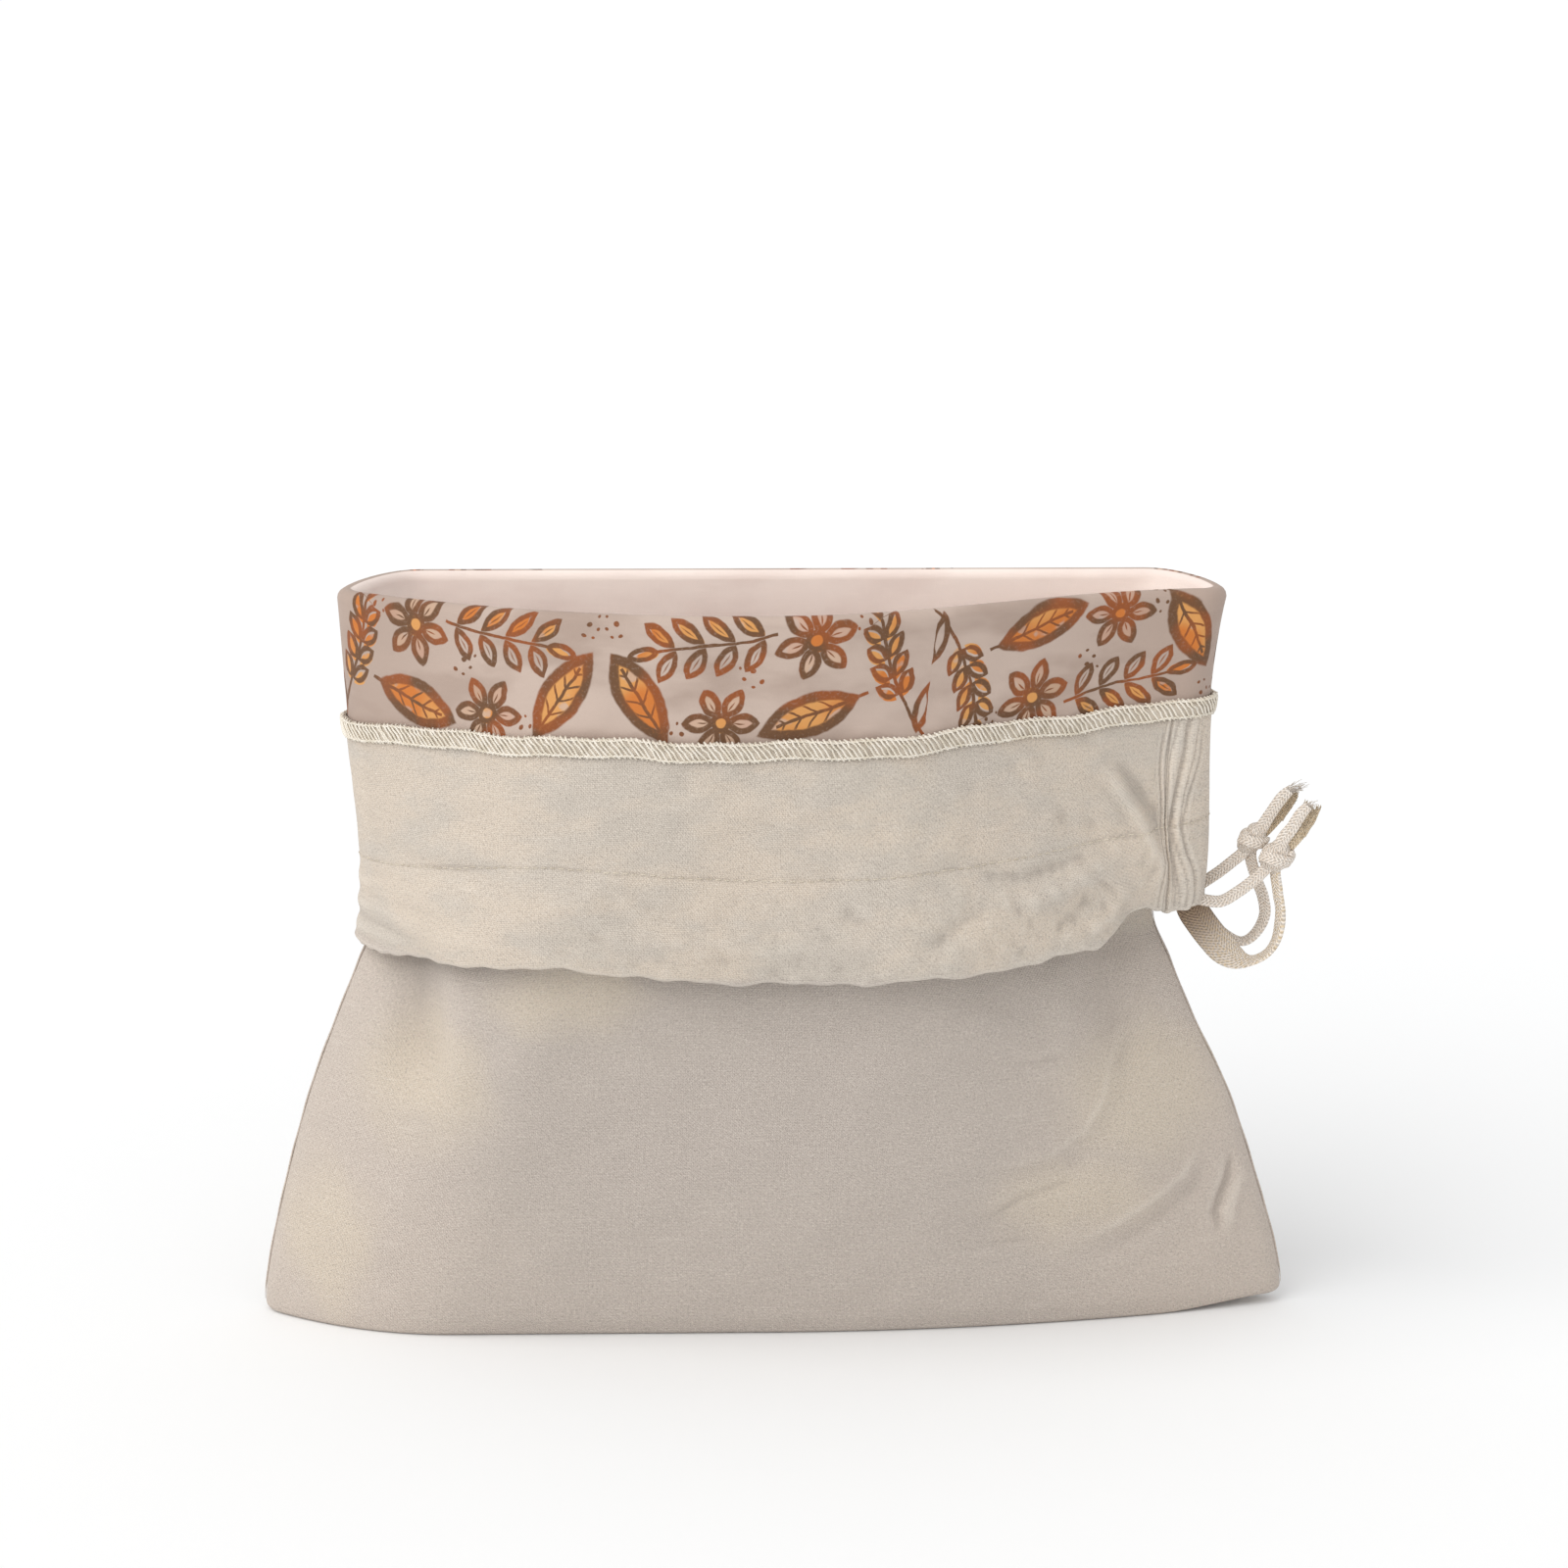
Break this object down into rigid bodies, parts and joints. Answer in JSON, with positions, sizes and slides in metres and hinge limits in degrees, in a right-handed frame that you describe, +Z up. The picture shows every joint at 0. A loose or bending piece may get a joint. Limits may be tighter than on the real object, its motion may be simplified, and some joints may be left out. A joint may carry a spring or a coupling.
{
  "type": "drawstring bread bag",
  "caption": "Cotton drawstring bread bag standing open, its printed lining turned out over the rim as a deep cuff, with a knotted tape tie at one side.",
  "frame": {"origin": "on the flat base, below the middle of the bag's width", "axes": "+Z up, +X along the bag's width towards the tie, +Y to the back"},
  "size_m": [0.3975, 0.1438, 0.2809],
  "materials": {
    "natural_cotton": "plain woven, matt",
    "printed_cotton": "fine plain woven, printed, matt",
    "overlock_thread": "overlocked cotton thread, matt",
    "cotton_tape": "woven tape, matt"
  },
  "bodies": {
    "root": {"outer_bag": "natural_cotton", "printed_lining": "printed_cotton", "overlock_edge": "overlock_thread", "tie_strand_upper": "cotton_tape", "tie_strand_lower": "cotton_tape", "tie_strand_back": "cotton_tape", "tie_strand_wide": "cotton_tape", "tie_knot_upper": "cotton_tape", "tie_knot_lower": "cotton_tape", "tie_end_upper_light": "cotton_tape", "tie_end_upper_shaded": "cotton_tape", "tie_end_lower_light": "cotton_tape", "tie_end_lower_shaded": "cotton_tape"}
  },
  "joints": []
}
